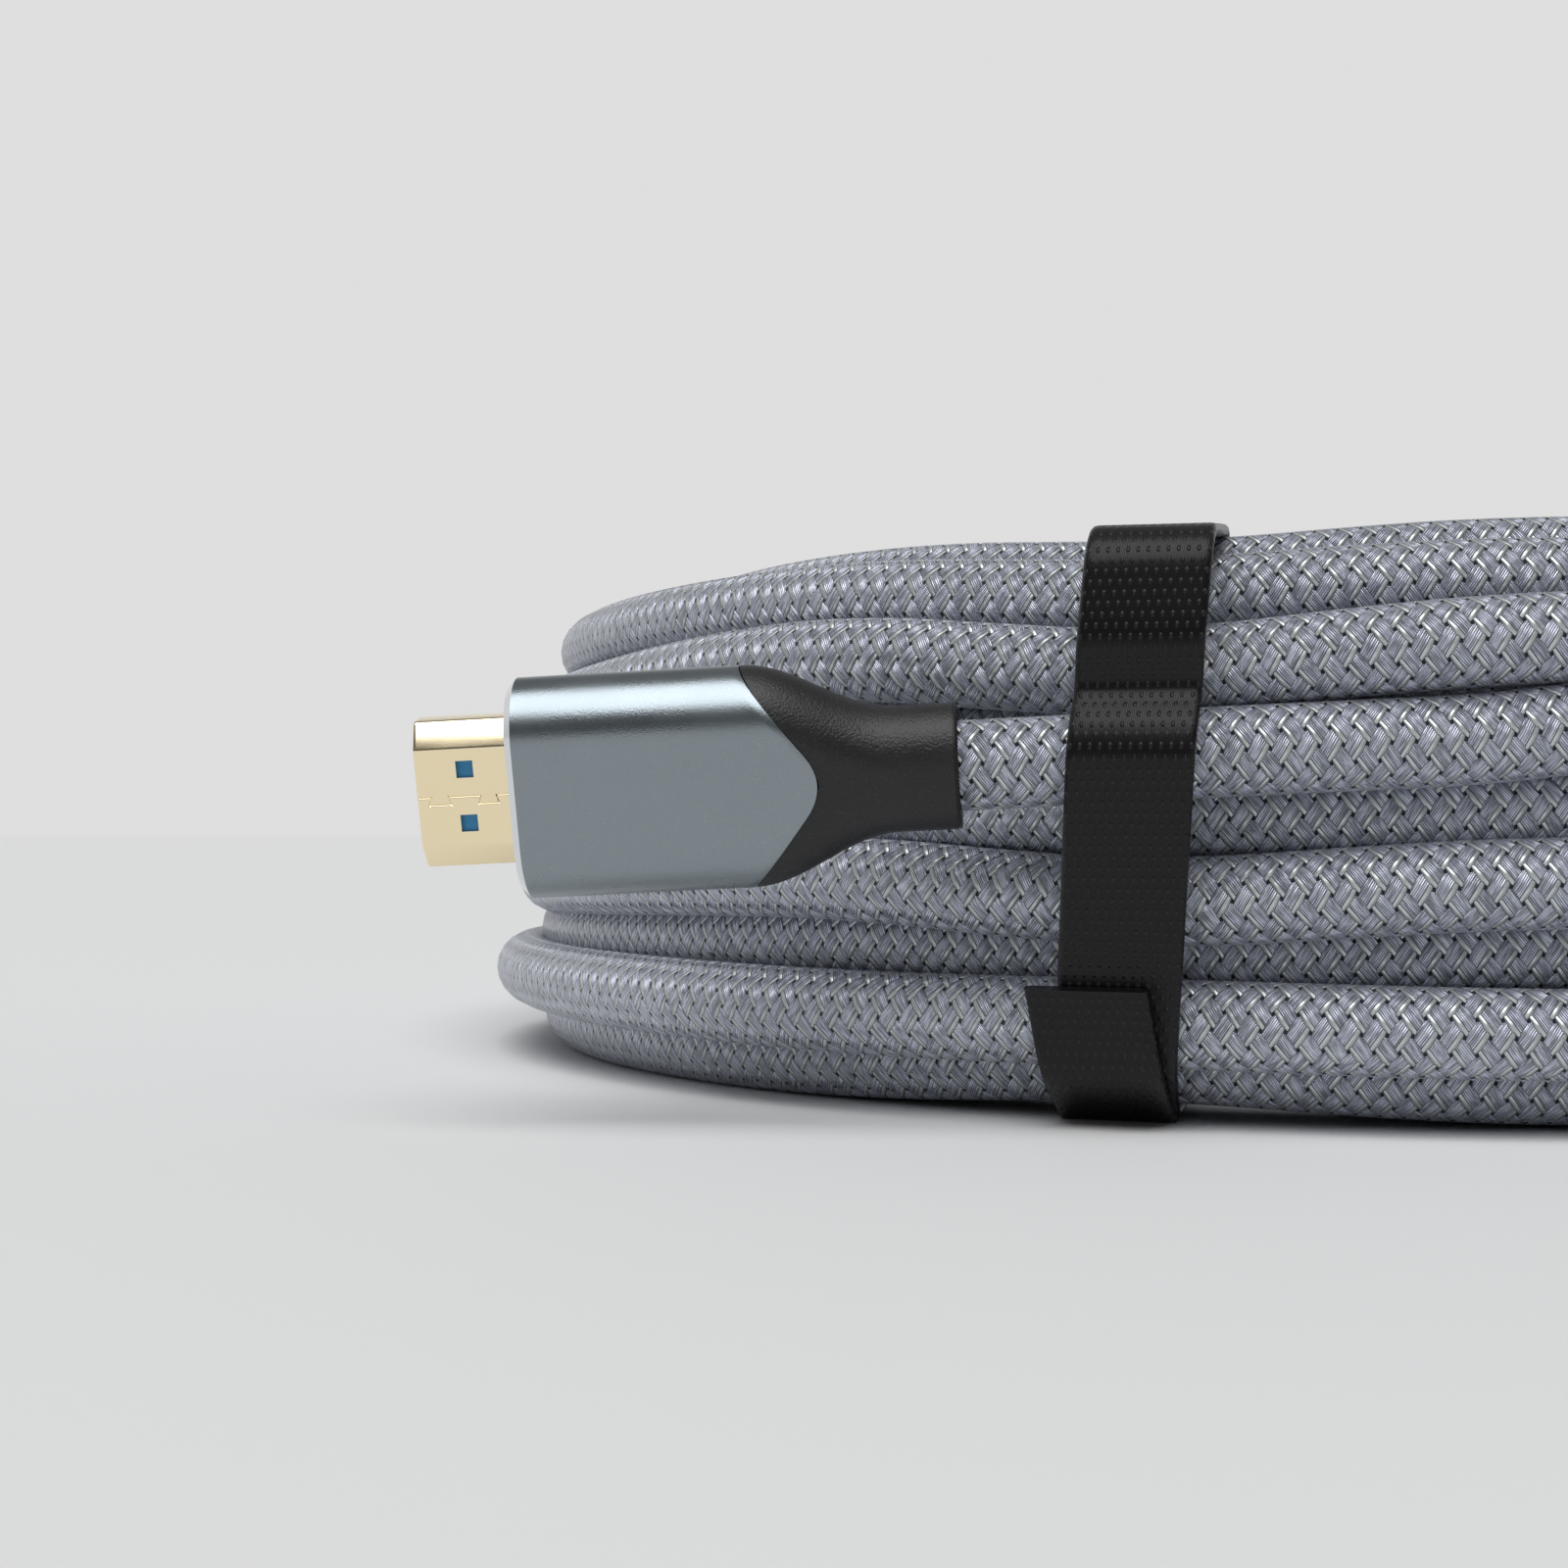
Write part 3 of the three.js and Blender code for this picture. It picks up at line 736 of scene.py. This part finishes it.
def insulator_surface():
    """A plug of plastic that fills the shell, with a rounded slot from its mouth."""
    middles, ways = rounded_outline(SHELL_CORNERS, SHELL_CORNER, 5, {
        WIDE_SIDE: np.linspace(-6, 6, 13), NARROW_SIDE: np.linspace(4, -4, 9),
    })
    mouth = SHELL_LENGTH - INSULATOR_RECESS
    edge = 0.15
    inset = SHELL_WALL + INSULATOR_GAP

    def outer(more):
        return middles + (SHELL_CORNER - inset - more) * ways

    def slot(more):
        half = np.array((SLOT_WIDTH / 2, SLOT_HEIGHT / 2)) - SLOT_CORNER
        return np.clip(outer(0), -half, half) + (SLOT_CORNER + more) * ways

    rows = ((-SHELL_SEAT, outer(0)), (mouth - edge, outer(0)), (mouth, outer(edge)), (mouth, slot(edge)),
            (mouth - edge, slot(0)), (mouth - SLOT_DEPTH, slot(0)))
    surface = Surface()
    numbers = surface.grid(np.stack([across_plug(x, section) for x, section in rows]))
    surface.cap(numbers[0], at_start=True)
    surface.cap(numbers[-1], at_start=False)
    return surface


def contacts_surface(count, side):
    """A row of spring blades: each a flat bar that bows into the slot near its tip, as a sine."""
    mouth = SHELL_LENGTH - INSULATOR_RECESS
    share = np.linspace(0, 1, 15)
    x = mouth - SLOT_DEPTH - 0.5 + share * (SLOT_DEPTH + 0.5 - CONTACT_RECESS)
    bow = 0.3 * np.sin(np.pi * np.clip((share - 0.35) / 0.65, 0, 1)) ** 2
    middle = side * (SLOT_HEIGHT / 2 - CONTACT_GAP - CONTACT_THICKNESS / 2 - bow)
    half_width = CONTACT_WIDTH / 2 * np.where(share > 0.95, 0.7, 1.0)
    lower = np.array(((-1, -0.6), (-0.8, -1), (0.8, -1), (1, -0.6)))
    around = np.concatenate((lower, -lower))
    surface = Surface()
    for blade in range(count):
        y = (blade - (count - 1) / 2) * CONTACT_PITCH
        section = np.stack((
            y + half_width[:, None] * around[:, 0],
            middle[:, None] + CONTACT_THICKNESS / 2 * around[:, 1],
        ), -1)
        numbers = surface.grid(across_plug(x[:, None], section))
        surface.cap(numbers[0], at_start=True)
        surface.cap(numbers[-1], at_start=False)
    return surface


def chevron_edge(y):
    """The x of the housing's rear edge: straight slopes that meet in a parabola at the tip."""
    half, tip = HOUSING_WIDTH / 2, CHEVRON_TIP_WIDTH / 2
    slope = (HOUSING_TIP_LENGTH - HOUSING_SIDE_LENGTH) / (half - tip / 2)
    straight = -HOUSING_SIDE_LENGTH - slope * (half - np.abs(y))
    rounded = -HOUSING_SIDE_LENGTH - slope * (half - tip) - slope * tip * (1 - (y / tip) ** 2) / 2
    return np.where(np.abs(y) < tip, rounded, straight)


def housing_surface():
    """A sleeve: round-ended section, cut chamfer in front, and a rear edge that follows the chevron."""
    outline = round_ended_outline(28, 30)

    def section(inset):
        return round_ended(outline, HOUSING_WIDTH, HOUSING_THICKNESS, inset)

    rear = chevron_edge(section(0)[:, 0])
    edge = 0.12
    body = -HOUSING_CHAMFER
    rows = [(rear, edge), (rear + 0.3 * edge, 0.3 * edge), (rear + edge, 0.0)]
    rows += [(rear + edge + (body - rear - edge) * share, 0.0) for share in np.linspace(0.04, 1, 25)]
    rows += [(0.0, HOUSING_CHAMFER), (-0.05, HOUSING_WALL), (-3.0, HOUSING_WALL)]
    rows += [(-3.0 + (rear + edge + 3.0) * share, HOUSING_WALL) for share in (0.3, 0.6, 1.0)]
    rows += [(rear, HOUSING_WALL - edge)]
    points = np.stack([across_plug(x, section(inset)) for x, inset in rows])
    cut = [1 if 26 < row < 29 else 0 for row in range(len(rows))]
    surface = Surface()
    surface.grid(points, close_rows=True, finish=cut)
    return surface


def flare(x):
    """How far the section has gone from the housing's to the neck's: sine squared over the flare."""
    return np.sin(np.pi / 2 * np.clip((-x - HOUSING_SIDE_LENGTH) / FLARE_LENGTH, 0, 1)) ** 2


def boot_surface():
    """A core inside the sleeve and a flared body behind the chevron, down to the neck round the cable."""
    outline = round_ended_outline(28, 30)
    ends, ways = outline
    straight = (HOUSING_WIDTH - HOUSING_THICKNESS) / 2
    neck_straight = (NECK_WIDTH - NECK_THICKNESS) / 2

    def body(x, inset):
        share = flare(x)
        radius = HOUSING_THICKNESS / 2 + share * (NECK_THICKNESS - HOUSING_THICKNESS) / 2 - inset
        across = ends * (straight + share * (neck_straight - straight))
        return across_plug(x, np.stack((across + radius * ways[:, 0], radius * ways[:, 1]), -1))

    def seat(x):
        half = np.array((SHELL_WIDTH, SHELL_HEIGHT)) / 2 - SHELL_CORNER + 0.05
        core = round_ended(outline, HOUSING_WIDTH, HOUSING_THICKNESS, HOUSING_WALL)
        return across_plug(x, np.clip(core, -half, half) + SHELL_CORNER * ways)

    def hole(x):
        return across_plug(x, (CABLE_RADIUS + 0.1) * ways)

    inner = HOUSING_WALL + 0.15
    rear = chevron_edge(round_ended(outline, HOUSING_WIDTH, HOUSING_THICKNESS)[:, 0])
    core_x = np.full(len(ends), -CORE_RECESS)
    rows = [seat(-SHELL_SEAT - TOUCH_GAP), seat(-CORE_RECESS), body(core_x, inner)]
    rows += [body(rear + 0.1, inner), body(rear - 0.02, 0.25), body(rear - 0.1, 0.04)]
    last = -BOOT_END + 0.35
    rows += [body(rear - 0.1 + (last - rear + 0.1) * share, 0.02) for share in np.linspace(0.02, 1, 44)]
    lip = -BOOT_END * np.ones(len(ends))
    rows += [body(lip + 0.3, 0.08), body(lip + 0.22, 0.08), body(lip + 0.15, 0.0), body(lip + 0.03, 0.12)]
    rows += [body(lip, 0.3), hole(-BOOT_END + 0.05), hole(-BOOT_END + 3)]
    surface = Surface()
    numbers = surface.grid(np.stack(rows))
    surface.cap(numbers[0], at_start=True)
    surface.cap(numbers[-1], at_start=False)
    return surface


def plug_place(end, yaw, dip, roll):
    """A plug's origin and its three axes as rows: its tip's way, across it, and its narrow face's way."""
    yaw, dip, roll = np.radians((yaw, dip, roll))
    tip = np.array((-np.cos(yaw) * np.cos(dip), np.sin(yaw) * np.cos(dip), -np.sin(dip)))
    level = np.array((-np.sin(yaw), -np.cos(yaw), 0))
    face = level * np.cos(roll) + np.cross(tip, level) * np.sin(roll)
    return np.array(end) + BOOT_END * tip, np.stack((tip, np.cross(face, tip), face))


def make_plug(name, place, finishes):
    """All the pieces of one plug, each in the place of its node."""
    origin, axes = plug_place(**place)
    shapes = {
        "shell": (shell_surface(), ["gold"], "gold_plate"),
        "insulator": (insulator_surface(), ["insulator"], "insulator"),
        "contacts_upper": (contacts_surface(UPPER_CONTACTS, -1), ["contacts"], "contacts"),
        "contacts_lower": (contacts_surface(LOWER_CONTACTS, 1), ["contacts"], "contacts"),
        "housing": (housing_surface(), ["housing", "cut_edge"], "housing"),
        "boot": (boot_surface(), ["boot"], "boot"),
    }
    pieces = []
    for part, (surface, keys, slot) in shapes.items():
        materials = [finishes[key] for key in keys]
        node = f"{name}_{part}"
        pieces.append(make_piece(node + "_piece", surface.moved(origin, axes), materials, [node]))
    return pieces


# Cable


def smooth_route(points, steps):
    """A Catmull-Rom curve through all the points, whose slope at each is parallel to its neighbours' line."""
    padded = np.concatenate((2 * points[:1] - points[1:2], points, 2 * points[-1:] - points[-2:-1]))
    a, b, c, d = (padded[k:len(padded) - 3 + k, None] for k in range(4))
    t = (np.arange(steps) / steps)[None, :, None]
    bends = (2 * a - 5 * b + 4 * c - d) * t ** 2 + (3 * b - a - 3 * c + d) * t ** 3
    curve = (2 * b + (c - a) * t + bends) / 2
    return np.concatenate((curve.reshape(-1, 3), points[-1:]))


def evenly(route, count):
    """The same route with its points an equal length apart, and the length at each."""
    length = np.concatenate(((0,), np.cumsum(np.linalg.norm(np.diff(route, axis=0), axis=1))))
    wanted = np.linspace(0, length[-1], count)
    return np.stack([np.interp(wanted, length, route[:, k]) for k in range(3)], -1), wanted


def coil_route():
    """The cable's way round the coil: a turn in each place of the bundle, with a smooth step to the next."""
    past = np.arange(COIL_START + COIL_STEP, COIL_END - COIL_STEP / 2, COIL_STEP)
    turn = np.arange(len(TURNS) - 1)
    middle = CROSSING_FIRST - CROSSING_EARLIER * turn + 360 * turn
    stepped = smooth((past[:, None] - middle) / CROSSING_LENGTH + 0.5)
    places = np.array(TURNS).transpose(1, 0, 2)
    free, strapped, left = (p[0] + stepped @ np.diff(p, axis=0) for p in places)
    angle = past % 360
    near_strap = np.exp(-((np.minimum(angle, 360 - angle) / STRAP_SQUEEZE) ** 2))[:, None]
    far, full, gone = LEFT_STRETCH
    near_left = (smooth((far - angle) / (far - full)) * smooth((angle - gone) / (full - gone)))[:, None]
    place = free + near_left * (left - free) * (1 - near_strap) + near_strap * (strapped - free)
    wander = np.radians(np.stack((past * 1.27, past * 1.61 + 70), -1))
    place = place + WOBBLE * np.sin(wander) * (1 - near_strap)
    place[:, 0] += LAST_STEP_BULGE * 4 * stepped[:, -1] * (1 - stepped[:, -1])
    place[:, 1] = np.maximum(place[:, 1], CABLE_RADIUS)
    round_coil = np.radians(past + STRAP_AT)
    return np.stack((place[:, 0] * np.cos(round_coil), place[:, 0] * np.sin(round_coil), place[:, 1]), -1)


def cable_surface(rings, length):
    """A tube: a circle across the route at each ring, its pattern's place counted in turns and in length."""
    way = unit(np.gradient(rings, axis=0))
    side = unit(np.cross(way, (0, 0, 1)))
    up = np.cross(side, way)
    angle = 2 * np.pi * np.arange(CABLE_SIDES) / CABLE_SIDES - np.pi / 2
    ring = np.cos(angle)[:, None] * side[:, None] + np.sin(angle)[:, None] * up[:, None]
    surface = Surface()
    numbers = surface.grid(
        rings[:, None] + CABLE_RADIUS * ring, along=length, across=np.arange(CABLE_SIDES + 1) / CABLE_SIDES,
    )
    surface.cap(numbers[0], at_start=True)
    surface.cap(numbers[-1], at_start=False)
    return surface


def make_cable(material):
    near = np.array(LEAD_A)[::-1]
    route = smooth_route(np.concatenate((near, coil_route(), np.array(LEAD_B))), ROUTE_STEPS)
    rings, length = evenly(route, CABLE_RINGS)
    cable = make_piece("cable", cable_surface(rings, length), [material],
                       ["cable_coil", "lead_a", "lead_b"])
    return cable


# Strap


def string_round(reach, count=720):
    """The tight outline round the strap's turns, a distance off them, and the way out at each point.

    For each way out the point comes from the turn that reaches furthest that way.
    """
    turns = np.array((*STRAP_TURNS, STRAP_STAND_OFF)) - (STRAP_CENTRE_RADIUS, 0)
    angle = np.linspace(-np.pi, np.pi, count, endpoint=False)
    ways = np.stack((np.cos(angle), np.sin(angle)), -1)
    furthest = np.argmax(ways @ turns.T, 1)
    return turns[furthest] + reach * ways, ways


def even_loop(points, ways, count):
    closed = np.concatenate((points, points[:1]))
    closed_ways = np.concatenate((ways, ways[:1]))
    length = np.concatenate(((0,), np.cumsum(np.linalg.norm(np.diff(closed, axis=0), axis=1))))
    wanted = np.linspace(0, length[-1], count + 1)
    loop = np.stack([np.interp(wanted, length, closed[:, k]) for k in range(2)], -1)
    out = np.stack([np.interp(wanted, length, closed_ways[:, k]) for k in range(2)], -1)
    return loop, unit(out), wanted


def band_section():
    """A strap's section: flat faces and round edges, as (across, out) with the thickness as 1."""
    half, edge = STRAP_WIDTH / 2, STRAP_THICKNESS / 2
    flat = np.linspace(-half + edge, half - edge, 16)
    turn = np.linspace(-np.pi / 2, np.pi / 2, 7)[1:-1]
    right = np.stack((half - edge + edge * np.cos(turn), 0.5 * np.sin(turn)), -1)
    top = np.stack((flat[::-1], np.full(16, 0.5)), -1)
    bottom = np.stack((flat, np.full(16, -0.5)), -1)
    left = np.stack((-half + edge - edge * np.cos(turn), -0.5 * np.sin(turn)), -1)
    return np.concatenate((bottom, right, top, left))


def strap_points(loop, out, section, shift=0.0):
    """Points of a band along a loop: across it, and out from it by its thickness, leaned and twisted."""
    facing, angle = np.radians(STRAP_FACING), np.radians(STRAP_ANGLE)
    outward = np.array((-np.sin(facing), -np.cos(facing), 0))
    across = np.array((-np.cos(facing), np.sin(facing), 0))
    centre = -STRAP_CENTRE_RADIUS * np.array((np.sin(angle), np.cos(angle), 0))
    flat = loop[:, None] + STRAP_THICKNESS * section[None, :, 1:] * out[:, None]
    depth, height = flat[..., :1], flat[..., 1:]
    low = 1 - height / (STRAP_STAND_OFF[1] + CABLE_RADIUS)
    sideways = section[None, :, :1]
    twist = np.radians(STRAP_TWIST) * smooth(low) * smooth(depth / STRAP_TWIST_DEPTH)
    leaned = sideways * np.cos(twist) + STRAP_LEAN * low + np.asarray(shift).reshape(-1, 1, 1)
    points = centre + (depth - sideways * np.sin(twist)) * outward + height * np.array((0, 0, 1))
    points = points + leaned * across
    points[..., 2] = np.maximum(points[..., 2], 0)
    return points


def strap_surface():
    """The band round the bundle, and its free end lapped over the front leg's foot.

    The dent in its front leg falls off as exp(-(height from it / length) squared).
    """
    section = band_section()
    reach = CABLE_RADIUS + TOUCH_GAP - STRAP_SKIN + STRAP_THICKNESS / 2
    loop, out, length = even_loop(*string_round(reach), STRAP_POINTS)
    off_dent = (loop[:, 1] - STRAP_DENT_HEIGHT) / STRAP_DENT_LENGTH
    dent = STRAP_DENT * np.exp(-(off_dent ** 2)) * (out[:, 0] > 0.5)
    loop = loop - out * dent[:, None]
    surface = Surface()
    across = np.concatenate((section[:, 0], section[:1, 0]))
    surface.grid(strap_points(loop[:-1], out[:-1], section), close_rows=True, along=length, across=across)
    front = (loop[:, 0] > 0) & (loop[:, 1] < TAIL_HEIGHT) & (out[:, 0] > 0.15)
    tail, tail_out, tail_length = loop[front], out[front], length[front]
    lift = smooth((tail[:, 1] - 1.0) / 4.0)
    tail = tail + tail_out * (STRAP_THICKNESS * (0.35 + 0.62 * lift))[:, None]
    numbers = surface.grid(
        strap_points(tail, tail_out, section, TAIL_SHIFT * tail[:, 1] / TAIL_HEIGHT),
        along=tail_length, across=across,
    )
    surface.cap(numbers[0], at_start=True)
    surface.cap(numbers[-1], at_start=False)
    return surface


# Studio


def make_floor(material):
    surface = Surface()
    lines = np.linspace(-FLOOR_HALF, FLOOR_HALF, 9)
    x, y = np.meshgrid(lines, lines)
    mesh = bpy.data.meshes.new("floor")
    surface.grid(np.stack((x, y, 0 * x), -1), close_columns=False)
    mesh.from_pydata((surface.points * MM).tolist(), [], surface.quads.tolist())
    mesh.materials.append(material)
    floor = bpy.data.objects.new("floor", mesh)
    bpy.context.scene.collection.objects.link(floor)


def make_softbox():
    """One large soft light, high in front: a sun as wide as a softbox seen from the object."""
    light = bpy.data.lights.new("softbox", "SUN")
    light.angle = np.radians(SOFTBOX_WIDTH)
    light.energy = SOFTBOX_STRENGTH
    lamp = bpy.data.objects.new("softbox", light)
    lamp.rotation_euler = (np.radians(90 - SOFTBOX_HEIGHT), 0, np.radians(SOFTBOX_TURN))
    bpy.context.scene.collection.objects.link(lamp)


def make_world():
    """Pale towards the back, darker behind the camera and overhead, and one pale tone to the camera."""
    world = bpy.data.worlds.new("studio")
    bpy.context.scene.world = world
    world.use_nodes = True
    tree = world.node_tree
    background = tree.nodes["Background"]
    places = tree.nodes.new("ShaderNodeTexCoord")
    _, y, z = parts_of(tree, places.outputs["Generated"])
    back = y.rise(-0.1, 0.5)
    high = z.rise(0.3, 0.6)
    behind = high * -BACK_FALL + BACK_LEVEL
    level = behind * back + (back * -1 + 1) * FRONT_LEVEL
    light_path = tree.nodes.new("ShaderNodeLightPath")
    seen = Value(tree, light_path.outputs["Is Camera Ray"])
    shown = seen * SEEN_LEVEL + (seen * -1 + 1) * level
    tree.links.new(joined(tree, shown, shown, shown), background.inputs["Color"])


def make_camera():
    camera = bpy.data.cameras.new("camera")
    camera.lens = CAMERA_LENS
    camera.sensor_width = 36
    camera.clip_start = 0.01
    eye = bpy.data.objects.new("camera", camera)
    eye.location = np.array(CAMERA_PLACE) * MM
    eye.rotation_euler = (np.radians(90 + CAMERA_TILT), 0, 0)
    bpy.context.scene.collection.objects.link(eye)
    bpy.context.scene.camera = eye


def main():
    braid, grain, tape = braid_group(), grain_group(), hook_tape_group()
    finishes = {
        "gold": grained_material(
            "polished gold plate", grain, (1.0, 0.86, 0.58, 1), (1.0, 0.9, 0.66, 1),
            roughness=0.13, metallic=1.0, fineness=2500.0, depth=0.001, speck_share=0.2),
        "contacts": grained_material(
            "contact gold", grain, (0.9, 0.66, 0.3, 1), (0.95, 0.8, 0.5, 1),
            roughness=0.28, metallic=1.0, fineness=2500.0, depth=0.001, speck_share=0.2),
        "insulator": grained_material(
            "blue plastic", grain, (0.03, 0.26, 0.55, 1), (0.04, 0.3, 0.6, 1),
            roughness=0.4, metallic=0.0, fineness=5000.0, depth=0.004, speck_share=0.4),
        "housing": grained_material(
            "blasted anodised aluminium", grain, (0.28, 0.32, 0.345, 1), (0.44, 0.48, 0.51, 1),
            roughness=0.27, metallic=1.0, fineness=7000.0, depth=0.016, speck_share=0.35),
        "cut_edge": grained_material(
            "bright cut aluminium", grain, (0.8, 0.82, 0.84, 1), (0.9, 0.9, 0.9, 1),
            roughness=0.14, metallic=1.0, fineness=5000.0, depth=0.001, speck_share=0.2),
        "boot": grained_material(
            "black moulding", grain, (0.008, 0.008, 0.009, 1), (0.045, 0.045, 0.05, 1),
            roughness=0.42, metallic=0.0, fineness=4200.0, depth=0.07, speck_share=0.4),
    }
    make_plug("plug_a", PLUG_A, finishes)
    far_plug = make_plug("plug_b", PLUG_B, finishes)
    make_cable(braid_material(braid))
    make_piece("strap_band", strap_surface(), [strap_material(tape)], ["strap"])
    make_floor(floor_material())
    make_softbox()
    make_world()
    make_camera()
    bpy.context.scene.view_settings.view_transform = "Standard"


main()
